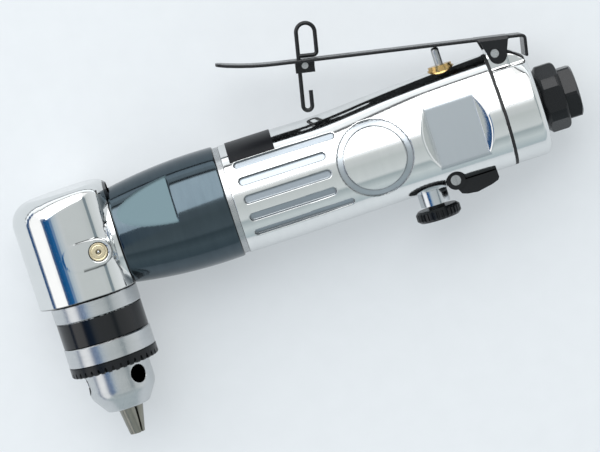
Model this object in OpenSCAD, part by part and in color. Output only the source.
// Right-angle air drill with a keyed three-jaw chuck.
// Millimetres. The drill lies on its side: +X runs from the chuck axis along the handle to
// the air inlet, the chuck points along -Y, the throttle lever is on the +Y side and +Z is up.
// The pieces are drawn about the point where the chuck axis crosses the handle axis, and
// placed() then moves that point so that the origin is under the middle of the whole tool.

/* [Angle head] */
// Chuck axis to the front of the head
head_front = 21.25; // [20.5:0.25:22.5]
// Half of the head's width across its flat sides
head_half_width = 20; // [19.5:0.25:21]
// Handle axis to the top of the head
head_top = 23.6; // [23:0.1:25]
// Handle axis to the bottom face of the head
head_bottom = 18.3; // [18.3:0.1:19]
// Radius of the upright front corners
front_corner_r = 18.5; // [17.5:0.5:18.5]
// Radius of the upright rear corners
rear_corner_r = 12; // [10:0.5:13]
// Rounding of the top edge at the front
front_top_r = 9; // [7:0.5:10]
// Rounding of the top edge at the rear
rear_top_r = 4.5; // [3:0.5:6]
// Chuck axis to the joint between head and gear case
head_rear = 17.2; // [17:0.1:18]
// Radius of the flange at the joint
flange_r = 18.3; // [17.5:0.1:18.3]
// Thickness of that flange
flange_t = 2.2; // [1.5:0.1:2.6]
// Radius of the concave flare from neck to flange
flare_r = 5.8; // [5:0.1:6]
// Radius of the side boss
boss_r = 5.3; // [5:0.1:6]
// Place of the boss along the handle
boss_x = 8.5; // [8:0.1:9]
// Place of the boss along the chuck axis
boss_y = -1.7; // [-2.5:0.1:0]
// Radius of the grease fitting's head
fitting_r = 3.7; // [3.2:0.1:4]

/* [Gear case] */
// Length of the gear case
case_len = 44.1; // [43.9:0.1:46]
// Largest radius of the gear case
case_r = 22.2; // [22:0.1:24]
// Radius at its front end, behind the chamfer
case_front_r = 19.1; // [18.8:0.1:19.5]
// Width of the front chamfer
case_chamfer = 0.9; // [0.5:0.1:1.2]
// Handle axis to the wrench flats of the gear case
case_flat_dist = 19.7; // [19.2:0.1:20]
// Turn of these flats about the handle axis
case_flat_turn = 27; // [20:1:35]
// Length of the front part that the flats reach over
case_flat_len = 24.2; // [20:0.1:24.2]
// Thickness of the seal ring behind the gear case
seal_t = 2.1; // [1.5:0.1:2.5]
// Radius of the seal ring
seal_r = 21.2; // [20.6:0.1:21.3]

/* [Barrel] */
// Length of the barrel
barrel_len = 107.9; // [107:0.1:112]
// Radius of the barrel at the front
barrel_front_r = 21.5; // [21.3:0.1:22]
// Radius of the barrel's rear part
barrel_rear_r = 20.7; // [20.5:0.1:21]
// Length over which the radius falls
barrel_taper_len = 61.6; // [40:0.1:70]
// Front of the hump under the lever, from the barrel's front
hump_start = 36.6; // [30:0.1:40]
// Radius of the hump's rounded back
hump_r = 17.5; // [17.2:0.1:18]
// Height of the hump's top line at the rear
hump_rear_top = 24.2; // [24:0.1:24.6]
// Rise of the hump's top line over a straight one
hump_bulge = 0.7; // [0.4:0.1:1]
// Wall between the motor bore and the outside
barrel_wall = 4.5; // [4.3:0.1:4.8]
// Width of a grip groove
groove_w = 3.2; // [2.6:0.1:3.6]
// Depth of a grip groove
groove_depth = 1.1; // [0.6:0.1:1.3]
// Angle between neighbouring grooves
groove_pitch = 19.5; // [17:0.5:20]
// Start of the grooves, from the barrel's front
groove_start = 4; // [3:0.1:6]
// Length of the three inner grooves
groove_len = 34.6; // [30:0.1:35]
// Extra length of the two outer grooves
groove_extra = 5.5; // [3:0.1:6]
// Middle of the ring emblem, from the barrel's front
ring_place = 56.3; // [55:0.1:58]
// Outer radius of the ring emblem
ring_r = 14.7; // [13:0.1:15]
// Width of the ring's band
ring_band = 2.5; // [1.5:0.1:2.8]
// Depth of the ring under the barrel's surface
ring_depth = 0.5; // [0.3:0.1:0.8]
// Distance across the barrel's wrench flats
wrench_across = 34; // [33.6:0.1:36]
// End of the wrench flats to the barrel's rear end
wrench_inset = 9; // [8:0.1:10]
// Length of the wrench flats
wrench_len = 19.3; // [17:0.1:20]
// Start of the label, from the barrel's front
label_start = 3; // [2:0.1:4]
// Length of the label along the handle
label_len = 18.4; // [14:0.1:20]
// Thickness of the label
label_t = 0.25; // [0.2:0.05:0.4]

/* [Rear cap and inlet] */
// Thickness of the cap's gasket
gasket_t = 1.3; // [1:0.1:1.6]
// Length of the rear cap
cap_len = 14.3; // [14:0.1:16]
// Radius of the rear cap
cap_r = 20.4; // [20:0.1:20.7]
// Rounding of the cap's rear edge
cap_round = 3; // [2:0.5:4]
// Half width of the lug that carries the lever
lug_half_width = 7.2; // [6.5:0.1:7.2]
// Gap between cap and exhaust deflector
deflector_gap = 0.9; // [0.6:0.1:1.4]
// Length of the exhaust deflector
deflector_len = 9; // [8:0.1:11]
// Radius over the deflector's corners
deflector_r = 13.25; // [12.8:0.05:14]
// Length of the inlet hexagon
inlet_hex_len = 5.7; // [5:0.1:8]
// Distance across the flats of the inlet hexagon
inlet_across = 19.4; // [18:0.1:20]
// Radius of the inlet's threaded hole
inlet_thread_r = 5.6; // [5:0.1:6]
// Depth of the threaded hole
inlet_thread_depth = 12.5; // [10:0.5:14]

/* [Throttle] */
// Thickness of the lever's sheet
sheet_t = 1.2; // [1:0.1:1.4]
// Half width of the lever's blade
blade_half_width = 8.2; // [7.5:0.1:8.6]
// Front of the rear cap to the lever pin
pin_inset = 3.3; // [2.9:0.1:3.9]
// Height of the lever pin
pin_y = 23.5; // [23.3:0.1:24]
// Radius of the lever pin
pin_r = 1.6; // [1.4:0.1:1.8]
// Slope of the blade, falling towards the pin
blade_slope = 11; // [10.5:0.1:11.5]
// Height of the blade's top over the pin, square to the blade
blade_rise = 6.25; // [6.1:0.05:6.4]
// Length of the blade's straight part in front of the pin
blade_len = 84; // [82:0.5:86]
// Length of the curled tip
tip_len = 23; // [20:0.5:23.5]
// Added slope at the very tip
tip_curl = 11; // [8:1:14]
// Valve to the rear end of the barrel
valve_inset = 16.5; // [15.8:0.1:16.8]
// Radius of the valve stem
stem_r = 1.6; // [1.4:0.1:1.8]
// Radius of the valve bushing's flange
valve_flange_r = 5.15; // [4.8:0.05:5.4]
// Height of the flange's top
valve_flange_top = 25.3; // [25:0.1:25.8]
// Radius of the valve chamber
chamber_r = 4.2; // [4:0.1:4.4]

/* [Lever lock] */
// Radius of the lock wire
wire_r = 0.8; // [0.7:0.05:0.9]
// Lock's pivot to the lever pin, along the handle
lock_reach = 70.6; // [70.1:0.1:71.1]
// Height of the lock's pivot
lock_y = 41; // [40.9:0.05:41.1]
// Lean of the lock wire from upright
lock_lean = 12; // [10:0.5:13]
// Distance between the loop's two legs
loop_width = 7.2; // [6.4:0.1:7.6]
// Pivot to the middle of the loop's round end
loop_len = 12.6; // [11:0.1:13]
// Pivot to the middle of the hook's round end
hook_len = 15.7; // [15.2:0.1:16.4]
// Radius of the hook's bend
hook_r = 1.75; // [1.6:0.05:1.9]
// Length of the hook's short leg
hook_tip_len = 5.9; // [4:0.1:7]
// Radius of the lock's pivot pin
lock_pin_r = 1.3; // [1.1:0.05:1.3]

/* [Reversing lever and regulator] */
// Reversing lever's hub to the rear end of the barrel
reverse_inset = 24.2; // [23.8:0.1:24.5]
// Depth of the hub's axis under the handle axis
reverse_drop = 18.5; // [18.2:0.1:18.6]
// Radius of the hub
reverse_hub_r = 3.7; // [3.5:0.1:3.8]
// Regulator to the rear end of the barrel
regulator_inset = 33.9; // [33.3:0.1:34.1]
// Radius of the regulator bush
regulator_bush_r = 5.9; // [5.5:0.1:5.9]
// Depth of the bush's outer face under the handle axis
regulator_bush_end = 25.6; // [25:0.1:26]
// Radius of the regulator stem
regulator_stem_r = 3.3; // [3:0.1:3.4]
// Radius of the knurled knob
knob_r = 8.85; // [8:0.05:9]
// Thickness of the knob
knob_t = 4.6; // [4:0.1:5]
// Number of grooves in the knob's rim
knob_grooves = 30; // [24:1:36]

/* [Chuck] */
// Running gap between the head and the chuck
chuck_gap = 0.3; // [0.2:0.05:0.4]
// Radius of the chuck's rear collar
collar_r = 17.3; // [17:0.1:17.5]
// End of the rear collar, measured from the head
collar_end = 7.1; // [6.8:0.1:7.4]
// Radius of the chuck band
band_r = 17.1; // [16.8:0.1:17.2]
// End of the chuck band, measured from the head
band_end = 17.1; // [16.8:0.1:17.2]
// Radius of the sleeve
sleeve_r = 17.4; // [17.2:0.1:17.6]
// End of the sleeve, measured from the head
sleeve_end = 25.1; // [25:0.1:25.2]
// End of the toothed ring, measured from the head
toothed_end = 29.1; // [28.8:0.1:29.3]
// Radius of the toothed ring
toothed_r = 17.5; // [17.3:0.1:17.8]
// Number of teeth on the ring
chuck_teeth = 36; // [30:1:40]
// Radius of the nose
nose_r = 13.1; // [13:0.1:13.4]
// Start of the nose's chamfer, measured from the head
nose_chamfer = 39; // [38.5:0.1:40]
// Radius of the nose's end face
nose_end_r = 8.4; // [8:0.1:9]
// End of the nose, measured from the head
nose_end = 45.9; // [45.5:0.1:46.5]
// End of the jaws, measured from the head
jaw_end = 56.9; // [56.5:0.1:57.5]
// Angle between a jaw and the chuck axis
jaw_lean = 13.5; // [13:0.1:13.6]
// Radius of a jaw
jaw_r = 3.1; // [2.9:0.05:3.1]
// Radius of the closed jaws at their tip
jaw_tip_r = 2.9; // [2.8:0.05:3]
// Azimuth of the first jaw, from +Z towards +X
jaw_azimuth = -21; // [-25:1:-17]
// Radius of a key hole
key_hole_r = 3.5; // [3.2:0.1:3.6]
// Middle of the key holes, measured from the head
key_hole_t = 33.7; // [33.4:0.1:34]

/* [Gears] */
// Module of the planetary gears
planet_module = 0.7; // [0.68:0.01:0.7]
// Width of the planet gears
planet_w = 8.6; // [7:0.1:8.8]
// Module of the bevel gears at their large end
bevel_module = 1.25; // [1.2:0.01:1.26]
// Face width of the bevel gears
bevel_face = 5; // [4:0.1:5.2]
// Thinning of every tooth, as a share of its thickness
tooth_play = 0.075; // [0.05:0.005:0.12]

/* [Motor] */
// Radius of the rotor
rotor_r = 12; // [11.5:0.1:12.1]
// Radius of the bore in the motor cylinder
cylinder_bore_r = 13.5; // [13.3:0.1:13.8]
// Length of the barrel that the valves and the motor's plates take up
valve_part_len = 52.9; // [52.7:0.1:58]
// Number of vanes
vane_count = 5; // [4:1:6]
// Thickness of a vane
vane_t = 2; // [1.6:0.1:2.2]

/* [Hidden] */

$fn = 72;

// Clearances
run_fit = 0.05;
seat_fit = 0.02;
end_gap = 0.1;
cut = 1;

// Stations along the handle
barrel_x0 = head_rear + case_len + seal_t;
barrel_x1 = barrel_x0 + barrel_len;
cap_x0 = barrel_x1 + gasket_t;
cap_x1 = cap_x0 + cap_len;
deflector_x0 = cap_x1 + deflector_gap;
deflector_x1 = deflector_x0 + deflector_len;
inlet_x1 = deflector_x1 + inlet_hex_len;
case_x1 = head_rear + case_len;
pin_x = cap_x0 + pin_inset;
lock_x = pin_x - lock_reach;
valve_x = barrel_x1 - valve_inset;
reverse_x = barrel_x1 - reverse_inset;
regulator_x = barrel_x1 - regulator_inset;

// Height of the lock wire's top, and the middle of the whole tool
lock_leg_offset = lock_pin_r + run_fit + wire_r;
loop_mid_p = loop_width / 2 - lock_leg_offset;
lock_top = lock_y + loop_len * cos(lock_lean) - loop_mid_p * sin(lock_lean) + loop_width / 2 + wire_r;
centre_x = (inlet_x1 - head_front) / 2;
centre_y = (lock_top - head_bottom - jaw_end) / 2;

// Bearings as [bore radius, outer radius, width]
rotor_bearing = [4, 11, 7];
carrier_bearing_size = [7.5, 14, 7];
pinion_bearing_size = [5, 13, 8];
upper_bearing_size = [4, 11, 7];
lower_bearing_size = [6, 14, 7];

// Bevel gears: teeth, pitch radii, cone distance
pinion_teeth = 12;
bevel_teeth = 21;
pinion_pitch_r = bevel_module * pinion_teeth / 2;
bevel_pitch_r = bevel_module * bevel_teeth / 2;
cone_dist = sqrt(pow(pinion_pitch_r, 2) + pow(bevel_pitch_r, 2));
pressure_angle = 25;
bevel_back_t = 1.0;

// Planetary gears: teeth and radii
sun_teeth = 12;
planet_teeth = 18;
ring_teeth = 48;
orbit_r = planet_module * (sun_teeth + planet_teeth) / 2;
tooth_top = 0.8;
tooth_foot = 1.1;

// Stations inside the head
bevel_back = pinion_pitch_r + bevel_module * tooth_foot * bevel_pitch_r / cone_dist + bevel_back_t;
lower_bearing_y = -(bevel_back + end_gap);
retainer_t = 1.3;
upper_bearing_y = 11.5;
gear_chamber_top = -3.5;
spigot_len = 3.1;
spigot_r = 14.4;
pinion_room_r = 9.5;

// Stations inside the gear case
pinion_bearing_x = head_rear + 0.3;
carrier_bearing_x = pinion_bearing_x + pinion_bearing_size[2] + 1;
carrier_disc_x = carrier_bearing_x + carrier_bearing_size[2] + 1.1;
carrier_disc_t = 6.9;
carrier_disc_r = 15.5;
carrier_room_r = 16.5;
planet_gap = 0.4;
planet_room_r = 17.9;
planet_x = carrier_disc_x + carrier_disc_t + planet_gap;
ring_x = planet_x + 0.4;
ring_w = planet_w;
ring_room_r = 19.2;
ring_seat_x = ring_x - end_gap;
planet_pin_r = 2.5;

// Stations inside the barrel
motor_r = barrel_front_r - barrel_wall;
spigot_x0 = ring_x + ring_w + end_gap;
front_plate_x = spigot_x0 + 4.5;
front_plate_t = 10.4;
cylinder_len = barrel_len - valve_part_len;
cylinder_x = front_plate_x + front_plate_t + end_gap;
cylinder_offset = cylinder_bore_r - rotor_r - end_gap;
rear_plate_x = cylinder_x + cylinder_len + end_gap;
rear_plate_t = 8.7;
motor_room_x1 = rear_plate_x + rear_plate_t + 0.2;
plate_web = 3.0;
rear_plate_web = 1.6;
shaft_r = rotor_bearing[0];

// Throttle valve: heights from the handle axis
valve_seat_y = 12;
chamber_floor_y = -4;
flange_seat_y = 22.7;
passage_r = 5;
passage_start = 3.8;
valve_head_r = chamber_r - 0.6;
valve_head_t = 2;
seal_disc_t = 1.2;
spring_wire_r = 0.5;
spring_turns = 5;
lever_travel = 8.5;
blade_over_valve = pin_y + blade_rise / cos(blade_slope) + (pin_x - valve_x) * tan(blade_slope);
stem_gap = 0.4;
stem_dome = 1.2;
stem_top_y = blade_over_valve - sheet_t / cos(blade_slope) - stem_gap;

// Chuck
thread_r = 4.76;
thread_end = 14;
chuck_bore_r = thread_r + seat_fit;
mouth_r = 6.4;
mouth_depth = 3.4;
sleeve_inner_r = 15.5;
core_r = 15.85;
groove_t0 = 17.6;
groove_t1 = 24.6;
groove_floor_r = 10.2;
jaw_back = 20.5;
jaw_gap = 0.45;
grip_r = 0.8;
jaw_axis_tip = jaw_tip_r - jaw_r / cos(jaw_lean);
key_hole_floor = 7.6;

// Moves a piece from the drawing point to the middle of the tool, standing on its lowest side.
module placed() {
    translate([-centre_x, -centre_y, case_r]) children();
}

// The child's +Z becomes the tool's +X, from the station x.
module on_x(x = 0) {
    translate([x, 0, 0]) rotate([0, 90, 0]) children();
}

// The child's +Z becomes the tool's +Y, from the height y.
module on_y(y = 0) {
    translate([0, y, 0]) rotate([-90, 0, 0]) children();
}

// The child's +Z becomes the tool's -Y, from the height y.
module down_y(y = 0) {
    translate([0, y, 0]) rotate([90, 0, 0]) children();
}

// Chuck frame: +Z runs from the head to the jaws, and an azimuth of 0 is the tool's +Z.
module in_chuck() {
    multmatrix([[0, -1, 0, 0], [0, 0, -1, -head_bottom], [1, 0, 0, 0], [0, 0, 0, 1]]) children();
}

module tube(r_out, r_in, h) {
    difference() {
        cylinder(r = r_out, h = h);
        translate([0, 0, -cut]) cylinder(r = r_in, h = h + 2 * cut);
    }
}

// A sealed ball bearing, with its shields set back between the two races.
module bearing(size) {
    race = (size[1] - size[0]) * 0.25;
    recess = size[2] * 0.1;
    rotate_extrude() polygon([
        [size[0], 0],
        [size[0] + race, 0],
        [size[0] + race, recess],
        [size[1] - race, recess],
        [size[1] - race, 0],
        [size[1], 0],
        [size[1], size[2]],
        [size[1] - race, size[2]],
        [size[1] - race, size[2] - recess],
        [size[0] + race, size[2] - recess],
        [size[0] + race, size[2]],
        [size[0], size[2]]
    ]);
}

// Points of a round edge, from the outside to the end face.
function round_edge(r, h, round_r, steps = 6) = [
    for (i = [0 : steps])
        [
            r - round_r * (1 - cos(90 * i / steps)),
            h - round_r * (1 - sin(90 * i / steps))
        ]
];

// Involute tooth: half of its angle at radius r
function involute(angle) = tan(angle) * 180 / PI - angle;
function flank_angle(r, base_r) = involute(acos(min(1, base_r / r)));
function half_tooth(r, pitch_r, teeth, play) =
    let (base_r = pitch_r * cos(pressure_angle))
    90 / teeth * (1 - play) + flank_angle(pitch_r, base_r) - flank_angle(max(r, base_r), base_r)
        + max(0, base_r - r) * 4 / base_r;

// Outline of a gear, as [radius, angle] points tooth by tooth
function gear_points(pitch_r, teeth, radii, play, phase) = [
    for (k = [0 : teeth - 1])
        for (i = [0 : 2 * len(radii) - 1])
            let (
                rising = i < len(radii),
                r = rising ? radii[i] : radii[2 * len(radii) - 1 - i],
                side = rising ? -1 : 1
            )
            [r, phase + 360 * k / teeth + side * half_tooth(r, pitch_r, teeth, play)]
];
function polar(p) = [p[0] * cos(p[1]), p[0] * sin(p[1])];

// Flat outline of a spur gear, whose radii run from the foot to the top of a tooth
module gear_outline(teeth, gear_module, foot, top, play, phase) {
    pitch_r = gear_module * teeth / 2;
    r0 = pitch_r - foot * gear_module;
    r1 = pitch_r + top * gear_module;
    radii = [r0, r0 + (pitch_r - r0) * 0.6, pitch_r, (pitch_r + r1) / 2, r1];
    polygon([for (p = gear_points(pitch_r, teeth, radii, play, phase)) polar(p)]);
}

// Bevel gear with its pitch cone's point at the origin and its large end towards +Z.
// The teeth are spur teeth on the back cone, drawn in towards the cone's point.
module bevel_teeth_solid(teeth, mate_teeth, back_z, phase) {
    cone = atan(teeth / mate_teeth);
    pitch_r = bevel_module * teeth / 2;
    pitch_z = bevel_module * mate_teeth / 2;
    virtual_r = pitch_r / cos(cone);
    virtual_teeth = teeth / cos(cone);
    foot_r = virtual_r - tooth_foot * bevel_module;
    top_r = virtual_r + tooth_top * bevel_module;
    radii = [foot_r, (foot_r + virtual_r) / 2, virtual_r, (virtual_r + top_r) / 2, top_r];
    shrink = (cone_dist - bevel_face) / cone_dist;
    flat = [
        for (k = [0 : teeth - 1])
            for (i = [0 : 9])
                let (
                    rising = i < 5,
                    r = rising ? radii[i] : radii[9 - i],
                    side = rising ? -1 : 1,
                    turn = side * half_tooth(r, virtual_r, virtual_teeth, tooth_play) / cos(cone)
                )
                [r, phase + 360 * k / teeth + turn]
    ];
    count = len(flat);
    large = [
        for (p = flat)
            let (r = p[0] * cos(cone))
            [r * cos(p[1]), r * sin(p[1]), pitch_z - (p[0] - virtual_r) * sin(cone)]
    ];
    small = [for (p = large) p * shrink];
    back_r = foot_r * cos(cone);
    back = [for (p = flat) [back_r * cos(p[1]), back_r * sin(p[1]), back_z]];
    front_z = small[0][2];
    points = concat([[0, 0, back_z]], back, large, small, [[0, 0, front_z]]);
    faces = concat(
        [for (i = [0 : count - 1]) [0, 1 + (i + 1) % count, 1 + i]],
        [for (i = [0 : count - 1]) [1 + i, 1 + (i + 1) % count, 1 + count + i]],
        [for (i = [0 : count - 1]) [1 + (i + 1) % count, 1 + count + (i + 1) % count, 1 + count + i]],
        [for (i = [0 : count - 1]) [1 + count + i, 1 + count + (i + 1) % count, 1 + 2 * count + i]],
        [
            for (i = [0 : count - 1])
                [1 + count + (i + 1) % count, 1 + 2 * count + (i + 1) % count, 1 + 2 * count + i]
        ],
        [for (i = [0 : count - 1]) [1 + 2 * count + i, 1 + 2 * count + (i + 1) % count, 1 + 3 * count]]
    );
    polyhedron(points = points, faces = faces);
}

// One unbroken coil of round wire about the Z axis.
module coil(coil_r, wire, height, turns) {
    sides = 6;
    rings = turns * 14;
    points = [
        for (k = [0 : rings])
            for (i = [0 : sides - 1])
                let (
                    turn = 360 * turns * k / rings,
                    out = coil_r + wire * cos(360 * i / sides),
                    rise = wire + (height - 2 * wire) * k / rings + wire * sin(360 * i / sides)
                )
                [out * cos(turn), out * sin(turn), rise]
    ];
    walls = [
        for (k = [0 : rings - 1])
            for (i = [0 : sides - 1])
                for (half = [0, 1])
                    let (a = k * sides + i, b = k * sides + (i + 1) % sides)
                    half == 0 ? [a, b + sides, b] : [a, a + sides, b + sides]
    ];
    ends = [
        [for (i = [0 : sides - 1]) i],
        [for (i = [0 : sides - 1]) rings * sides + sides - 1 - i]
    ];
    polyhedron(points = points, faces = concat(walls, ends));
}

// Angle head

module head_post(r, round_r) {
    h = head_bottom + head_top;
    rotate_extrude($fn = 32) polygon(concat([[0, 0], [r, 0]], round_edge(r, h, round_r), [[0, h]]));
}

module head_drum() {
    hull() {
        for (side = [-1, 1]) {
            translate([front_corner_r - head_front, 0, side * (head_half_width - front_corner_r)])
                on_y(-head_bottom)
                head_post(front_corner_r, front_top_r);
            translate([head_rear - rear_corner_r, 0, side * (head_half_width - rear_corner_r)])
                on_y(-head_bottom)
                head_post(rear_corner_r, rear_top_r);
        }
    }
}

module head_neck() {
    flare_x = head_rear - flange_t - flare_r;
    neck_r = flange_r - flare_r;
    flare = [
        for (a = [0 : 10 : 90])
            [neck_r + flare_r * (1 - cos(a)), flare_x + flare_r * sin(a)]
    ];
    on_x() rotate_extrude() polygon(concat([[0, 0], [neck_r, 0]], flare, [[flange_r, head_rear], [0, head_rear]]));
}

module head_boss() {
    boss_root = 15;
    translate([boss_x, boss_y, boss_root]) cylinder(r = boss_r, h = head_half_width - boss_root);
    translate([0, boss_y - boss_r, boss_root]) cube([boss_x, 2 * boss_r, head_half_width - boss_root]);
}

fitting_head_t = 1.1;
fitting_floor = 12;

module angle_head() {
    color("silver") placed() difference() {
        union() {
            head_drum();
            head_neck();
            head_boss();
        }
        down_y(gear_chamber_top)
            cylinder(r = lower_bearing_size[1] + seat_fit, h = head_bottom + gear_chamber_top + cut);
        on_y(gear_chamber_top - cut)
            cylinder(
                r = upper_bearing_size[1] + seat_fit,
                h = upper_bearing_y + upper_bearing_size[2] + seat_fit - gear_chamber_top + cut
            );
        on_x() cylinder(r = pinion_room_r, h = head_rear);
        on_x(head_rear - spigot_len - end_gap) cylinder(r = spigot_r + seat_fit, h = spigot_len + cut);
        translate([boss_x, boss_y, fitting_floor]) cylinder(r = 2.9 + seat_fit, h = head_half_width);
        translate([boss_x, boss_y, head_half_width - fitting_head_t])
            cylinder(r = fitting_r + run_fit, h = fitting_head_t + cut);
    }
}

module grease_fitting() {
    color("tan") placed() translate([boss_x, boss_y, fitting_floor + end_gap]) difference() {
        union() {
            cylinder(r = 2.9, h = head_half_width - fitting_head_t - fitting_floor);
            translate([0, 0, head_half_width - fitting_head_t - fitting_floor - end_gap])
                cylinder(r = fitting_r, h = fitting_head_t + 0.15);
        }
        translate([0, 0, head_half_width - fitting_floor - 1]) cylinder(r = 1, h = 2);
    }
}

module upper_spindle_bearing() {
    color("lightgray") placed() on_y(upper_bearing_y) bearing(upper_bearing_size);
}

module lower_spindle_bearing() {
    color("lightgray") placed() down_y(lower_bearing_y) bearing(lower_bearing_size);
}

module bearing_retainer() {
    retainer_y = lower_bearing_y - lower_bearing_size[2] - end_gap;
    color("dimgray") placed() down_y(retainer_y) difference() {
        tube(lower_bearing_size[1], 8.5, head_bottom + retainer_y);
        for (side = [-1, 1])
            translate([side * 11.2, 0, -cut]) cylinder(r = 1, h = retainer_t + 2 * cut, $fn = 24);
    }
}

// Gear case

function case_radius(x) = case_r - (case_r - case_front_r) * pow((x - case_bulge_x) / (case_bulge_x - case_chamfer), 2);
case_bulge_x = 35.5;

module gear_case() {
    steps = 14;
    disc_gap = 0.5;
    outline = [
        for (i = [0 : steps])
            let (x = case_chamfer + (case_len - case_chamfer) * i / steps)
            [case_radius(x), head_rear + x]
    ];
    color([0.16, 0.18, 0.2]) placed() difference() {
        union() {
            on_x() rotate_extrude()
                polygon(concat(
                    [[0, head_rear], [case_front_r - case_chamfer, head_rear]],
                    outline,
                    [[0, case_x1]]
                ));
            on_x(head_rear - spigot_len) cylinder(r = spigot_r, h = spigot_len + cut);
        }
        on_x(0) cylinder(r = pinion_room_r, h = pinion_bearing_x + cut);
        on_x(pinion_bearing_x)
            cylinder(r = pinion_bearing_size[1] + seat_fit, h = pinion_bearing_size[2] + cut);
        on_x(carrier_bearing_x - 0.6)
            cylinder(r = carrier_bearing_size[1] + seat_fit, h = carrier_disc_x - carrier_bearing_x + 0.2);
        on_x(carrier_disc_x - disc_gap) cylinder(r = carrier_room_r, h = planet_x - carrier_disc_x + disc_gap);
        on_x(planet_x - planet_gap) cylinder(r = planet_room_r, h = ring_seat_x - planet_x + planet_gap + cut);
        on_x(ring_seat_x) cylinder(r = ring_room_r + seat_fit, h = case_x1 - ring_seat_x + cut);
        for (turn = [-case_flat_turn, 180 - case_flat_turn])
            rotate([turn, 0, 0])
            translate([head_rear - cut, -case_r, case_flat_dist])
            cube([case_flat_len + cut, 2 * case_r, case_r]);
    }
}

module case_seal_ring() {
    color([0.1, 0.1, 0.1]) placed() on_x(case_x1) tube(seal_r, ring_room_r, seal_t);
}

module pinion_bearing() {
    color("lightgray") placed() on_x(pinion_bearing_x + seat_fit) bearing(pinion_bearing_size);
}

module carrier_bearing() {
    color("lightgray") placed() on_x(carrier_bearing_x) bearing(carrier_bearing_size);
}

module ring_gear() {
    color("gray") placed() on_x(ring_x) difference() {
        cylinder(r = ring_room_r, h = ring_w);
        translate([0, 0, -cut])
            linear_extrude(height = ring_w + 2 * cut)
            gear_outline(ring_teeth, planet_module, tooth_top, tooth_foot, -tooth_play, 3.75);
    }
}

// Barrel

hump_x0 = barrel_x0 + hump_start;
hump_y0 = barrel_rear_r - hump_r;
hump_y1 = hump_rear_top - hump_r;
hump_chord = norm([barrel_x1 - hump_x0, hump_y1 - hump_y0]);
hump_turn = atan((hump_y1 - hump_y0) / (barrel_x1 - hump_x0));
hump_curve_r = (pow(hump_chord / 2, 2) + pow(hump_bulge, 2)) / (2 * hump_bulge);
hump_half_span = asin(hump_chord / 2 / hump_curve_r);
hump_mid_x = (hump_x0 + barrel_x1) / 2 + sin(hump_turn) * (hump_curve_r - hump_bulge);
hump_mid_y = (hump_y0 + hump_y1) / 2 - cos(hump_turn) * (hump_curve_r - hump_bulge);
hump_overrun = 0.3;

// The rounded back that swells under the lever, a short piece of a very large ring.
module hump() {
    translate([hump_mid_x, hump_mid_y, 0])
        rotate([0, 0, 90 + hump_turn - hump_half_span - hump_overrun])
        rotate_extrude(angle = 2 * hump_half_span + hump_overrun, $fn = 720)
        translate([hump_curve_r, 0])
        circle(r = hump_r, $fn = 72);
}

// A slot with round ends, sunk into the barrel's side at an angle about the handle axis.
module grip_groove(turn, x0, length) {
    rotate([turn, 0, 0])
        translate([x0 + groove_w / 2, 0, barrel_front_r - 0.2 - groove_depth])
        linear_extrude(height = 4) {
            circle(d = groove_w, $fn = 24);
            translate([0, -groove_w / 2]) square([length - groove_w, groove_w]);
            translate([length - groove_w, 0]) circle(d = groove_w, $fn = 24);
        }
}

// Both wrench flats, with sloping end walls.
module barrel_flats() {
    z0 = wrench_across / 2;
    rise = barrel_front_r - z0 + cut;
    x1 = barrel_x1 - wrench_inset;
    x0 = x1 - wrench_len;
    for (side = [0, 1])
        mirror([0, 0, side])
        rotate([90, 0, 0])
        linear_extrude(height = 2 * barrel_front_r, center = true)
        polygon([[x0, z0], [x1, z0], [x1 + rise, z0 + rise], [x0 - rise, z0 + rise]]);
}

reverse_room_r = reverse_hub_r + run_fit;
regulator_shank_r = 4.9;
regulator_floor = 11.5;
exhaust_duct_r = 2.5;
exhaust_duct_z = 11;
spot_room = 0.25;

module barrel() {
    half = 1.25 * barrel_front_r;
    color("silver") placed() difference() {
        union() {
            on_x() rotate_extrude() polygon([
                [0, barrel_x0],
                [barrel_front_r - 0.4, barrel_x0],
                [barrel_front_r, barrel_x0 + 0.4],
                [barrel_front_r, barrel_x0 + label_start + label_len],
                [barrel_rear_r, barrel_x0 + barrel_taper_len],
                [barrel_rear_r, barrel_x1],
                [0, barrel_x1]
            ]);
            on_x(spigot_x0) cylinder(r = ring_room_r - run_fit, h = barrel_x0 - spigot_x0 + cut);
            hump();
        }
        translate([barrel_x1, -half, -half]) cube([half, 2 * half, 2 * half]);
        on_x(spigot_x0 - cut) cylinder(r = motor_r, h = motor_room_x1 - spigot_x0 + cut);
        on_x(valve_x + passage_start) cylinder(r = passage_r, h = barrel_x1 - valve_x);
        on_x(motor_room_x1 - cut) cylinder(r = 3, h = valve_x - motor_room_x1 + cut);
        for (side = [-1, 1])
            translate([0, 0, side * exhaust_duct_z])
                on_x(motor_room_x1 - cut)
                cylinder(r = exhaust_duct_r, h = barrel_x1 - motor_room_x1 + 2 * cut);
        translate([valve_x, 0, 0]) on_y(chamber_floor_y) cylinder(r = chamber_r + seat_fit, h = 2 * barrel_front_r);
        translate([valve_x, 0, 0]) on_y(flange_seat_y) cylinder(r = valve_flange_r + spot_room, h = barrel_front_r);
        translate([regulator_x, 0, 0]) down_y(-regulator_floor) cylinder(r = regulator_shank_r + seat_fit, h = barrel_front_r);
        translate([reverse_x, -reverse_drop, -half]) cylinder(r = reverse_room_r, h = 2 * half);
        barrel_flats();
        for (side = [0, 180])
            for (i = [-2 : 2])
                grip_groove(
                    side + i * groove_pitch,
                    barrel_x0 + groove_start,
                    groove_len + (abs(i) == 2 ? groove_extra : 0)
                );
        difference() {
            translate([barrel_x0 + ring_place, 0, 0]) tube(ring_r, ring_r - ring_band, half);
            on_x(barrel_x0) cylinder(r = barrel_rear_r - ring_depth, h = barrel_len);
        }
    }
}

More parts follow.
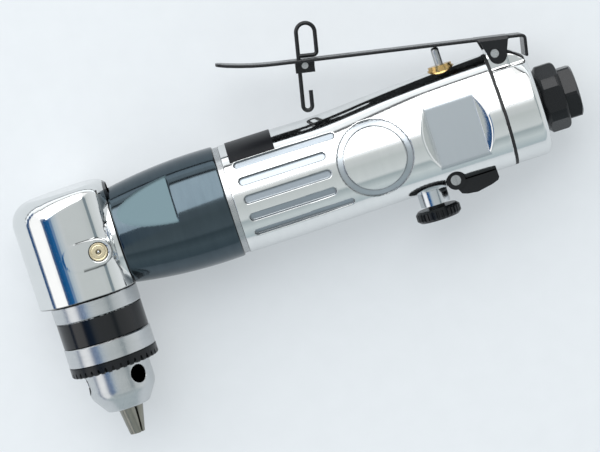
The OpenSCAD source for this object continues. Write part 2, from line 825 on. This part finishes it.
module name_label() {
    label_from = 43.8;
    label_to = 132;
    color([0.08, 0.08, 0.09]) placed() on_x(barrel_x0 + label_start)
        rotate([0, 0, 180 - label_to])
        rotate_extrude(angle = label_to - label_from)
        translate([barrel_front_r, 0]) square([label_t, label_len - 0.4]);
}

module motor_cylinder() {
    color("dimgray") placed() difference() {
        on_x(cylinder_x) cylinder(r = motor_r - seat_fit, h = cylinder_len);
        translate([0, -cylinder_offset, 0]) on_x(cylinder_x - cut) cylinder(r = cylinder_bore_r, h = cylinder_len + 2 * cut);
        for (i = [-2 : 2])
            translate([cylinder_x + cylinder_len / 2 + i * 9, 0, 0])
                rotate([0, 0, 0])
                down_y(0) cylinder(r = 1.8, h = motor_r + cut, $fn = 24);
    }
}

module front_end_plate() {
    color("gray") placed() on_x(front_plate_x) difference() {
        cylinder(r = motor_r - seat_fit, h = front_plate_t);
        translate([0, 0, -cut]) cylinder(r = rotor_bearing[1] + seat_fit, h = front_plate_t - plate_web + cut);
        translate([0, 0, -cut]) cylinder(r = shaft_r + 0.5, h = front_plate_t + 2 * cut);
    }
}

module rear_end_plate() {
    color("gray") placed() on_x(rear_plate_x) difference() {
        cylinder(r = motor_r - seat_fit, h = rear_plate_t);
        translate([0, 0, rear_plate_web]) cylinder(r = rotor_bearing[1] + seat_fit, h = rear_plate_t);
        translate([0, 0, -cut]) cylinder(r = shaft_r + 0.5, h = rear_plate_t + 2 * cut);
    }
}

front_bearing_x = front_plate_x + front_plate_t - plate_web - rotor_bearing[2];
rear_bearing_x = rear_plate_x + rear_plate_web;

module front_rotor_bearing() {
    color("lightgray") placed() on_x(front_bearing_x) bearing(rotor_bearing);
}

module rear_rotor_bearing() {
    color("lightgray") placed() on_x(rear_bearing_x) bearing(rotor_bearing);
}

// Rear cap and inlet

inlet_shank_r = 8.2;
screen_x = cap_x0 + 4;

// The barrel's rear outline, which the gasket and the cap's lug carry on.
module rear_outline(r) {
    circle(r = r);
    translate([0, hump_y1]) circle(r = r - barrel_rear_r + hump_r);
}

module cap_gasket() {
    color([0.06, 0.06, 0.06]) placed() translate([barrel_x1, 0, 0]) rotate([0, 90, 0]) difference() {
        linear_extrude(height = gasket_t) rear_outline(barrel_rear_r - 0.2);
        translate([0, 0, -cut]) cylinder(r = 18, h = gasket_t + 2 * cut);
    }
}

module rear_cap() {
    lug_r = 3.5;
    shoulder_y = 17.2;
    inner_r = 16.5;
    hub_r = 10.2;
    end_wall = 5;
    exhaust_holes = 6;
    exhaust_pcr = 12;
    exhaust_hole_r = 1.6;
    back_r = hump_r - 0.3;
    back_len = cap_len - 0.4;
    back_round = 8;
    pocket_h = cap_r;
    color("silver") placed() difference() {
        union() {
            on_x(cap_x0) rotate_extrude()
                polygon(concat([[0, 0], [cap_r, 0]], round_edge(cap_r, cap_len, cap_round), [[0, cap_len]]));
            translate([0, hump_y1, 0]) on_x(cap_x0) rotate_extrude()
                polygon(concat([[0, 0], [back_r, 0]], round_edge(back_r, back_len, back_round), [[0, back_len]]));
            translate([pin_x, pin_y, -lug_half_width]) cylinder(r = lug_r, h = 2 * lug_half_width);
            translate([pin_x - lug_r, 0, -lug_half_width]) cube([2 * lug_r, pin_y, 2 * lug_half_width]);
        }
        for (side = [-1, 1])
            translate([cap_x0 - cut, shoulder_y, side * (lug_half_width + half_room) - half_room])
                cube([cap_len + 2 * cut, pocket_h, 2 * half_room]);
        translate([pin_x, pin_y, -cap_r]) cylinder(r = pin_r + seat_fit, h = 2 * cap_r);
        translate([cap_x0 - cap_r, -2 * cap_r, -2 * cap_r]) cube([cap_r, 4 * cap_r, 4 * cap_r]);
        on_x(cap_x0 - cut) cylinder(r = inlet_shank_r + seat_fit, h = cap_len + 2 * cut);
        on_x(cap_x0 - cut) tube(inner_r, hub_r, cap_len - end_wall + cut);
        for (i = [0 : exhaust_holes - 1])
            on_x(cap_x0) rotate([0, 0, 360 * (i + 0.5) / exhaust_holes]) translate([exhaust_pcr, 0, 0])
                cylinder(r = exhaust_hole_r, h = cap_len + cut, $fn = 24);
    }
}
half_room = 8;

module lever_pin() {
    color("dimgray") placed() translate([pin_x, pin_y, -ear_outer]) cylinder(r = pin_r, h = 2 * ear_outer);
}

module exhaust_deflector() {
    collar_r = 9.6;
    color([0.07, 0.07, 0.08]) placed() difference() {
        union() {
            on_x(deflector_x0) intersection() {
                rotate([0, 0, 30]) cylinder(r = deflector_r * 1.08, h = deflector_len, $fn = 6);
                rotate_extrude() polygon(concat(
                    [[0, 0], [deflector_r - 1.6, 0], [deflector_r, 1.6]],
                    round_edge(deflector_r, deflector_len, 1.8, 4),
                    [[0, deflector_len]]
                ));
            }
            on_x(cap_x1) cylinder(r = collar_r, h = deflector_gap + cut);
        }
        on_x(cap_x1 - cut) cylinder(r = inlet_shank_r + seat_fit, h = deflector_len + deflector_gap + 2 * cut);
    }
}

module inlet_bushing() {
    shank_x0 = cap_x0 + 2;
    color([0.09, 0.09, 0.1]) placed() difference() {
        union() {
            on_x(shank_x0) cylinder(r = inlet_shank_r, h = inlet_x1 - shank_x0 - 1);
            on_x(deflector_x1) intersection() {
                cylinder(d = inlet_across / cos(30), h = inlet_hex_len, $fn = 6);
                rotate_extrude() polygon([
                    [0, 0],
                    [inlet_across / 2 + 1.2, 0],
                    [inlet_across / 2 + 1.2, inlet_hex_len - 1],
                    [inlet_across / 2 - 0.4, inlet_hex_len],
                    [0, inlet_hex_len]
                ]);
            }
        }
        on_x(inlet_x1 - inlet_thread_depth) cylinder(r = inlet_thread_r, h = inlet_thread_depth + cut);
        on_x(shank_x0 - cut) cylinder(r = inlet_thread_r - 0.8, h = inlet_x1 - shank_x0);
    }
}

module inlet_screen() {
    color("gray") placed() on_x(screen_x) difference() {
        cylinder(r = inlet_thread_r - 0.8 - seat_fit, h = 0.8);
        for (x = [-2.4 : 1.6 : 2.4])
            for (y = [-2.4 : 1.6 : 2.4])
                translate([x - 0.5, y - 0.5, -cut]) cube([1, 1, 3]);
    }
}

// Throttle valve

module valve_bushing() {
    color("goldenrod") placed() translate([valve_x, 0, 0]) on_y() difference() {
        union() {
            translate([0, 0, valve_seat_y]) cylinder(r = chamber_r, h = valve_flange_top - valve_seat_y);
            translate([0, 0, flange_seat_y]) cylinder(r = valve_flange_r - 0.5, h = valve_flange_top - flange_seat_y);
            translate([0, 0, flange_seat_y]) cylinder(r = valve_flange_r, h = 1.5);
        }
        cylinder(r = stem_r + run_fit, h = 2 * valve_flange_top);
    }
}

valve_head_y = valve_seat_y - end_gap - seal_disc_t - valve_head_t;

module valve_stem() {
    foot = 3;
    color("gainsboro") placed() translate([valve_x, 0, 0]) on_y() union() {
        translate([0, 0, valve_head_y]) rotate_extrude()
            polygon(concat(
                [[0, 0], [valve_head_r, 0], [valve_head_r, valve_head_t], [stem_r, valve_head_t]],
                round_edge(stem_r, stem_top_y - valve_head_y, stem_dome, 5),
                [[0, stem_top_y - valve_head_y]]
            ));
        translate([0, 0, valve_head_y - foot]) cylinder(r = stem_r, h = foot + 0.5);
    }
}

module valve_seal() {
    color([0.05, 0.05, 0.05]) placed() translate([valve_x, 0, 0])
        on_y(valve_head_y + valve_head_t) tube(valve_head_r, stem_r, seal_disc_t);
}

module valve_spring() {
    coil_r = chamber_r - 0.5 - spring_wire_r;
    height = valve_head_y - chamber_floor_y - 0.1;
    color("gray") placed() translate([valve_x, 0, 0]) on_y(chamber_floor_y + 0.05)
        coil(coil_r, spring_wire_r, height, spring_turns);
}

// Throttle lever

ear_inner = lug_half_width + 0.4;
ear_outer = ear_inner + sheet_t;

// Points along the lever's top, from the tip over the blade to the end of the tail.
// They lie in the blade's own frame: x along the blade from the pin, y square to it.
blade_front = -blade_len;
tip_steps = 5;
tip_path = [
    for (i = [tip_steps : -1 : 1])
        let (s = i / tip_steps)
        [blade_front - tip_len * s, blade_rise + tip_len * tan(tip_curl) * s * s / 2]
];
tail_r = 1.9;
tail_out = 12.95;
tail_drop = 8.2;
tail_arc = [
    for (i = [0 : 4])
        let (a = 90 - 90 * i / 4)
        [tail_out - tail_r * (1 - cos(a)), blade_rise - tail_r * (1 - sin(a))]
];
tail_end = [tail_out, blade_rise - tail_drop];
lever_path = concat(tip_path, [[blade_front, blade_rise]], tail_arc, [tail_end]);

// Direction at a point of a path, and the path moved sideways by t
function path_turn(path, i) =
    let (
        a = path[max(0, i - 1)],
        b = path[min(len(path) - 1, i + 1)]
    )
    atan2(b[1] - a[1], b[0] - a[0]);
function beside(path, t) = [
    for (i = [0 : len(path) - 1])
        path[i] + t * [sin(path_turn(path, i)), -cos(path_turn(path, i))]
];
function backwards(list) = [for (i = [len(list) - 1 : -1 : 0]) list[i]];

module in_blade() {
    translate([pin_x, pin_y, 0]) rotate([0, 0, -blade_slope]) children();
}

lock_in_blade = (lock_x - pin_x) * cos(blade_slope) - (lock_y - pin_y) * sin(blade_slope);
slot_front = lock_in_blade - 9;
slot_rear = lock_in_blade + loop_len + loop_width / 2 + wire_r + 1.5;
slot_w = 2 * wire_r + 0.8;

// One ear of the lever, in the blade's frame.
module lever_ear() {
    round_mid = [1.2, -0.9];
    round_r = 3.4;
    difference() {
        union() {
            translate(round_mid) circle(r = round_r, $fn = 48);
            polygon([
                [-6, blade_rise],
                [-4.7, 2.9],
                [round_mid[0] - round_r, round_mid[1] - 0.6],
                [round_mid[0] + round_r, round_mid[1]],
                [5.4, 3.6],
                [6, blade_rise]
            ]);
        }
        circle(r = pin_r + run_fit, $fn = 48);
    }
}

module throttle_lever() {
    color([0.1, 0.1, 0.11]) placed() in_blade() difference() {
        union() {
            intersection() {
                linear_extrude(height = 2 * blade_half_width, center = true)
                    polygon(concat(lever_path, backwards(beside(lever_path, sheet_t))));
                rotate([-90, 0, 0]) linear_extrude(height = 4 * lock_y, center = true) blade_plan();
            }
            for (side = [-1, 1])
                translate([0, 0, side * (ear_inner + ear_outer) / 2])
                    linear_extrude(height = sheet_t, center = true) lever_ear();
            translate([-6, blade_rise - sheet_t, -ear_outer]) cube([12, sheet_t, 2 * ear_outer]);
        }
        translate([slot_front, 0, -slot_w / 2]) cube([slot_rear - slot_front, lock_y, slot_w]);
    }
}

// Blade seen from above, with a round tip.
module blade_plan() {
    tip_corner = 5;
    tip_end = blade_front - tip_len;
    translate([tip_end + tip_corner, blade_half_width - tip_corner]) circle(r = tip_corner);
    translate([tip_end + tip_corner, tip_corner - blade_half_width]) circle(r = tip_corner);
    translate([tip_end, tip_corner - blade_half_width])
        square([tip_corner, 2 * (blade_half_width - tip_corner)]);
    translate([tip_end + tip_corner, -blade_half_width]) square([2 * blade_len, 2 * blade_half_width]);
}

// Lever lock

cheek_in = 1.4;
cheek_out = 2.4;
bracket_len = 7.4;
bracket_depth = 2.8;
bracket_flange_t = 0.9;
bracket_flange_out = 5.4;

// Frame of the lock wire: origin at its pivot, +Y along its legs.
module in_lock() {
    translate([lock_x, lock_y, 0]) rotate([0, 0, -lock_lean]) children();
}

// Frame at the lock's pivot, with +X along the blade.
module at_bracket() {
    translate([lock_x, lock_y, 0]) rotate([0, 0, -blade_slope]) children();
}
blade_under = blade_rise - sheet_t + (pin_y - lock_y) * cos(blade_slope) + (pin_x - lock_x) * sin(blade_slope);

module lock_bracket() {
    color([0.1, 0.1, 0.11]) placed() at_bracket()
        for (side = [0, 1])
            mirror([0, 0, side])
            difference() {
                union() {
                    translate([-bracket_len / 2, -bracket_depth, cheek_in])
                        cube([bracket_len, bracket_depth + blade_under, cheek_out - cheek_in]);
                    translate([-bracket_len / 2, blade_under - bracket_flange_t, cheek_in])
                        cube([bracket_len, bracket_flange_t, bracket_flange_out - cheek_in]);
                }
                cylinder(r = lock_pin_r + seat_fit, h = 10, $fn = 32);
            }
}

module lock_pivot_pin() {
    end_z = cheek_out + 0.2;
    color("gainsboro") placed() translate([lock_x, lock_y, -end_z])
        cylinder(r = lock_pin_r, h = 2 * end_z, $fn = 32);
}

// A straight length of wire between two points of a plane, with round ends.
module wire_line(a, b) {
    v = b - a;
    translate([a[0], a[1], 0]) rotate([0, 0, atan2(v[1], v[0])]) rotate([0, 90, 0])
        cylinder(r = wire_r, h = norm(v), $fn = 24);
}

// A bend of wire about a centre, from one angle over another.
module wire_bend(centre, r, from, span) {
    translate([centre[0], centre[1], 0]) rotate([0, 0, from])
        rotate_extrude(angle = span, $fn = 48) translate([r, 0]) circle(r = wire_r, $fn = 24);
}

module lock_wire() {
    left = -lock_leg_offset;
    right = left + loop_width;
    loop_mid = (left + right) / 2;
    foot_y = blade_under + sheet_t + wire_r + 0.35;
    foot_r = 1.4;
    hook_mid = left + hook_r;
    color([0.08, 0.08, 0.09]) placed() in_lock() union() {
        wire_line([left, -hook_len], [left, loop_len]);
        wire_bend([loop_mid, loop_len], loop_width / 2, 0, 180);
        wire_line([right, foot_y + foot_r], [right, loop_len]);
        wire_bend([right - foot_r, foot_y + foot_r], foot_r, 270, 90);
        wire_line([left, foot_y], [right - foot_r, foot_y]);
        wire_bend([hook_mid, -hook_len], hook_r, 180, 180);
        wire_line([hook_mid + hook_r, -hook_len], [hook_mid + hook_r, -hook_len + hook_tip_len]);
        translate([0, 0, -wire_r]) tube(lock_leg_offset + wire_r * 0.6, lock_pin_r + run_fit, 2 * wire_r);
    }
}

// Reversing lever

module reverse_lever() {
    hub_half = 9;
    paddle_half = 8;
    barrel_gap = 0.3;
    color([0.08, 0.08, 0.09]) placed() difference() {
        union() {
            translate([reverse_x, -reverse_drop, -hub_half]) cylinder(r = reverse_hub_r, h = 2 * hub_half);
            difference() {
                translate([reverse_x, 0, 0]) linear_extrude(height = 2 * paddle_half, center = true)
                    polygon([
                        [0.9, -24.2], [2.9, -24.9], [6.9, -25.4], [13, -24.3], [15.7, -23.4],
                        [16.4, -22.4], [16.3, -18], [1.5, -18], [-0.5, -21.5]
                    ]);
                on_x(reverse_x - 10) cylinder(r = barrel_rear_r + barrel_gap, h = 40);
            }
        }
        translate([reverse_x, -reverse_drop, -hub_half - cut])
            cylinder(r = reverse_core_r + seat_fit, h = 2 * hub_half + 2 * cut);
    }
}
reverse_core_r = 2;

module reverse_valve() {
    core_half = 8.6;
    color("gray") placed() translate([reverse_x, -reverse_drop, -core_half]) difference() {
        cylinder(r = reverse_core_r, h = 2 * core_half);
        translate([-0.35, -3, 2 * core_half - 0.7]) cube([0.7, 6, 2]);
    }
}

// Regulator

regulator_bore_r = regulator_stem_r + run_fit;
knob_y = -(regulator_bush_end + 1.3);

module regulator_bush() {
    seat = sqrt(pow(barrel_rear_r, 2) - pow(regulator_bush_r, 2)) - 0.3;
    color("gainsboro") placed() translate([regulator_x, 0, 0]) difference() {
        union() {
            down_y(-regulator_floor - end_gap) cylinder(r = regulator_shank_r, h = 12);
            difference() {
                down_y(-seat) cylinder(r = regulator_bush_r, h = regulator_bush_end - seat);
                on_x(-regulator_bush_r - cut) cylinder(r = barrel_rear_r + 0.02, h = 2 * regulator_bush_r + 2 * cut);
            }
        }
        down_y(0) cylinder(r = regulator_bore_r, h = 2 * regulator_bush_end);
    }
}

module regulator_stem() {
    color([0.1, 0.1, 0.11]) placed() translate([regulator_x, 0, 0]) down_y(-regulator_floor - 1) rotate_extrude()
        polygon([
            [0, 0],
            [1.2, 0],
            [regulator_stem_r, 3],
            [regulator_stem_r, -knob_y - regulator_floor - 1],
            [0, -knob_y - regulator_floor - 1]
        ]);
}

module regulator_knob() {
    edge = 1.1;
    notch = 0.5;
    notch_half = 0.5;
    color([0.09, 0.09, 0.1]) placed() translate([regulator_x, 0, 0]) down_y(knob_y) difference() {
        rotate_extrude() polygon([
            [0, 0],
            [knob_r - edge, 0],
            [knob_r, edge],
            [knob_r, knob_t - edge],
            [knob_r - edge, knob_t],
            [0, knob_t]
        ]);
        for (k = [0 : knob_grooves - 1])
            rotate([0, 0, 360 * k / knob_grooves])
            translate([0, 0, -cut])
            linear_extrude(height = knob_t + 2 * cut)
            polygon([
                [knob_r - notch, -notch_half / 2],
                [knob_r + notch, -1.5 * notch_half],
                [knob_r + notch, 1.5 * notch_half],
                [knob_r - notch, notch_half / 2]
            ]);
        translate([-knob_r, -0.6, knob_t - 0.8]) cube([2 * knob_r, 1.2, 2]);
    }
}

// Spindle and chuck

module spindle() {
    step_y = upper_bearing_y - 0.2;
    color("gainsboro") placed() difference() {
        union() {
            down_y(2) cylinder(r = lower_bearing_size[0] - run_fit, h = 2 + head_bottom + chuck_gap - 0.05);
            on_y(1) cylinder(r = 5, h = step_y - 1);
            on_y(step_y - cut) cylinder(r = upper_bearing_size[0] - run_fit, h = upper_bearing_size[2] + cut);
            in_chuck() cylinder(r = thread_r, h = thread_end);
        }
        in_chuck() translate([0, 0, 3]) cylinder(r = 2.5, h = thread_end);
    }
}

module bevel_gear() {
    color("gray") placed() down_y(0) difference() {
        bevel_teeth_solid(bevel_teeth, pinion_teeth, bevel_back, 180 / bevel_teeth);
        cylinder(r = lower_bearing_size[0] - run_fit + seat_fit, h = 20);
    }
}

function jaw_outer(t) = jaw_tip_r + (jaw_end - t) * tan(jaw_lean);

// A cylinder along the axis of one jaw, between two distances from the head.
module jaw_rod(r, t0, t1) {
    translate([jaw_axis_tip, 0, jaw_end]) rotate([0, 180 - jaw_lean, 0])
        translate([0, 0, (jaw_end - t1) / cos(jaw_lean)])
        cylinder(r = r, h = (t1 - t0) / cos(jaw_lean), $fn = 48);
}

module at_jaw(i) {
    rotate([0, 0, -(jaw_azimuth + 120 * i)]) children();
}

module chuck_body() {
    color("silver") placed() in_chuck() difference() {
        rotate_extrude() polygon([
            [chuck_bore_r, chuck_gap],
            [collar_r - 0.5, chuck_gap],
            [collar_r, chuck_gap + 0.5],
            [collar_r, collar_end],
            [core_r, collar_end],
            [core_r, groove_t0 - 0.3],
            [groove_floor_r, groove_t0 - 0.3],
            [groove_floor_r, groove_t1],
            [nose_r, groove_t1],
            [nose_r, nose_chamfer],
            [nose_end_r, nose_end],
            [mouth_r, nose_end],
            [mouth_r, nose_end - mouth_depth],
            [chuck_bore_r, nose_end - mouth_depth]
        ]);
        for (i = [0 : 2]) {
            at_jaw(i) jaw_rod(jaw_r + 0.1, 3.6, jaw_end);
            at_jaw(i + 0.5) translate([key_hole_floor, 0, key_hole_t]) rotate([0, 90, 0]) cylinder(r = key_hole_r, h = 10);
        }
    }
}

module chuck_band() {
    color([0.08, 0.08, 0.09]) placed() in_chuck()
        translate([0, 0, collar_end + 0.3]) tube(band_r, core_r + seat_fit, band_end - collar_end - 0.3);
}

module chuck_screw() {
    head_t = 2.6;
    color("gray") placed() in_chuck() difference() {
        union() {
            translate([0, 0, 4]) cylinder(r = 2.4, h = thread_end - 3.5);
            translate([0, 0, thread_end + 0.05]) cylinder(r = 4.2, h = head_t);
        }
        translate([-0.6, -6, thread_end + head_t - 1.2]) cube([1.2, 12, 3]);
    }
}

module chuck_sleeve() {
    color("silver") placed() in_chuck() difference() {
        rotate_extrude() polygon([
            [sleeve_inner_r, band_end + 0.4],
            [sleeve_r - 0.4, band_end + 0.4],
            [sleeve_r, band_end + 0.8],
            [sleeve_r, sleeve_end - 0.3],
            [sleeve_r - 0.3, sleeve_end],
            [sleeve_inner_r, sleeve_end]
        ]);
    }
}

module chuck_gear_ring() {
    notch_depth = 2.2;
    notch_half = 0.85;
    color([0.1, 0.1, 0.11]) placed() in_chuck() difference() {
        rotate_extrude() polygon([
            [nose_r + 0.08, groove_t1 + 0.1],
            [sleeve_inner_r - seat_fit, groove_t1 + 0.1],
            [sleeve_inner_r - seat_fit, sleeve_end + 0.05],
            [toothed_r, sleeve_end + 0.05],
            [toothed_r, toothed_end - 0.5],
            [toothed_r - 0.5, toothed_end],
            [nose_r + 0.08, toothed_end]
        ]);
        for (k = [0 : chuck_teeth - 1])
            rotate([0, 0, 360 * k / chuck_teeth])
            translate([nose_r + 1.4, 0, toothed_end])
            rotate([90, 0, 90])
            linear_extrude(height = 5)
            polygon([[-notch_half, 0.1], [-0.25, -notch_depth], [0.25, -notch_depth], [notch_half, 0.1]]);
    }
}

module chuck_nut() {
    t0 = groove_t0 + 0.2;
    t1 = groove_t1 - 0.1;
    color("gray") placed() in_chuck() rotate_extrude() polygon([
        [jaw_outer(t0) + 0.1, t0],
        [sleeve_inner_r - seat_fit, t0],
        [sleeve_inner_r - seat_fit, t1],
        [jaw_outer(t1) + 0.1, t1]
    ]);
}

// One jaw: a leaning rod cut to its third of the circle, with a groove that grips small drills.
module jaw(i) {
    wedge_tip = jaw_gap / sin(60);
    wedge_len = 2 * collar_r;
    color([0.45, 0.45, 0.44]) placed() in_chuck() at_jaw(i) difference() {
        intersection() {
            jaw_rod(jaw_r, jaw_back, jaw_end + 3);
            linear_extrude(height = jaw_end)
                polygon([
                    [wedge_tip, 0],
                    [wedge_tip + wedge_len * cos(60), wedge_len * sin(60)],
                    [wedge_len, 0],
                    [wedge_tip + wedge_len * cos(60), -wedge_len * sin(60)]
                ]);
        }
        translate([0, 0, jaw_back]) cylinder(r = grip_r, h = jaw_end, $fn = 48);
    }
}

module jaw_1() {
    jaw(0);
}

module jaw_2() {
    jaw(1);
}

module jaw_3() {
    jaw(2);
}

// Planetary gears and motor

sun_x = planet_x + 0.3;
carrier_bore_r = 4.98;

module planet_carrier() {
    color("gray") placed() difference() {
        union() {
            on_x(carrier_bearing_x - 0.4)
                cylinder(r = carrier_bearing_size[0] - run_fit, h = carrier_disc_x - carrier_bearing_x + cut);
            on_x(carrier_disc_x) cylinder(r = carrier_disc_r, h = carrier_disc_t);
        }
        on_x(carrier_bearing_x - 1) cylinder(r = carrier_bore_r + seat_fit, h = carrier_disc_x - carrier_bearing_x + 6);
        for (k = [0 : 2])
            on_x(carrier_disc_x - cut) rotate([0, 0, 120 * k]) translate([orbit_r, 0, 0])
                cylinder(r = planet_pin_r, h = carrier_disc_t + 2 * cut, $fn = 48);
    }
}

module planet_pins() {
    color("gainsboro") placed()
        for (k = [0 : 2])
            on_x(carrier_disc_x + 0.2) rotate([0, 0, 120 * k]) translate([orbit_r, 0, 0])
                cylinder(r = planet_pin_r - seat_fit, h = carrier_disc_t + planet_w + 0.6, $fn = 48);
}

module planet_gear(k) {
    color("darkgray") placed() on_x(planet_x) rotate([0, 0, 120 * k]) translate([orbit_r, 0, 0])
        rotate([0, 0, -120 * k])
        difference() {
            linear_extrude(height = planet_w)
                gear_outline(planet_teeth, planet_module, tooth_foot, tooth_top, tooth_play, 10);
            translate([0, 0, -cut]) cylinder(r = planet_pin_r + run_fit, h = planet_w + 2 * cut, $fn = 48);
        }
}

module planet_gear_1() {
    planet_gear(0);
}

module planet_gear_2() {
    planet_gear(1);
}

module planet_gear_3() {
    planet_gear(2);
}

module bevel_pinion() {
    hub_end = head_rear + 0.1;
    shaft_start = 9.9;
    shaft_end = carrier_disc_x + 4;
    back_z = bevel_pitch_r + 1.4;
    color("darkgray") placed() on_x() union() {
        bevel_teeth_solid(pinion_teeth, bevel_teeth, back_z, 270);
        translate([0, 0, shaft_start]) cylinder(r = carrier_bore_r - run_fit, h = shaft_end - shaft_start);
        translate([0, 0, back_z - 0.2]) cylinder(r = 6.5, h = hub_end - back_z + 0.2);
    }
}

module rotor() {
    body_x = cylinder_x + end_gap;
    body_len = cylinder_len - 2 * end_gap;
    shaft_x1 = rear_bearing_x + rotor_bearing[2];
    sun_foot_r = planet_module * (sun_teeth / 2 - tooth_foot);
    color("darkgray") placed() difference() {
        union() {
            on_x(body_x) cylinder(r = rotor_r, h = body_len);
            on_x(front_bearing_x - 0.5) cylinder(r = shaft_r - run_fit, h = shaft_x1 - front_bearing_x + 0.5);
            on_x(sun_x) cylinder(r = sun_foot_r, h = front_bearing_x - sun_x);
            on_x(sun_x) linear_extrude(height = planet_w)
                gear_outline(sun_teeth, planet_module, tooth_foot, tooth_top, tooth_play, 0);
        }
        for (k = [0 : vane_count - 1])
            on_x(body_x - cut) rotate([0, 0, 360 * k / vane_count])
                translate([slot_floor, -vane_t / 2 - run_fit, 0])
                cube([rotor_r, vane_t + 2 * run_fit, body_len + 2 * cut]);
    }
}
slot_floor = 6.6;

module rotor_vanes() {
    color("saddlebrown") placed()
        for (k = [0 : vane_count - 1])
            on_x(cylinder_x + 2 * end_gap) rotate([0, 0, 360 * k / vane_count])
                translate([slot_floor + run_fit, -vane_t / 2, 0])
                cube([rotor_r - slot_floor - 2 * run_fit - 0.1, vane_t, cylinder_len - 4 * end_gap]);
}

angle_head();
grease_fitting();
gear_case();
case_seal_ring();
barrel();
name_label();
cap_gasket();
rear_cap();
exhaust_deflector();
inlet_bushing();
inlet_screen();
lever_pin();
valve_bushing();
valve_spring();
regulator_bush();
motor_cylinder();
front_end_plate();
rear_end_plate();
front_rotor_bearing();
rear_rotor_bearing();
ring_gear();
carrier_bearing();
pinion_bearing();
upper_spindle_bearing();
lower_spindle_bearing();
bearing_retainer();
throttle_lever();
lock_bracket();
lock_pivot_pin();
lock_wire();
valve_stem();
valve_seal();
reverse_lever();
reverse_valve();
regulator_knob();
regulator_stem();
spindle();
bevel_gear();
chuck_body();
chuck_band();
chuck_screw();
chuck_sleeve();
chuck_gear_ring();
chuck_nut();
jaw_1();
jaw_2();
jaw_3();
planet_carrier();
planet_pins();
bevel_pinion();
planet_gear_1();
planet_gear_2();
planet_gear_3();
rotor();
rotor_vanes();
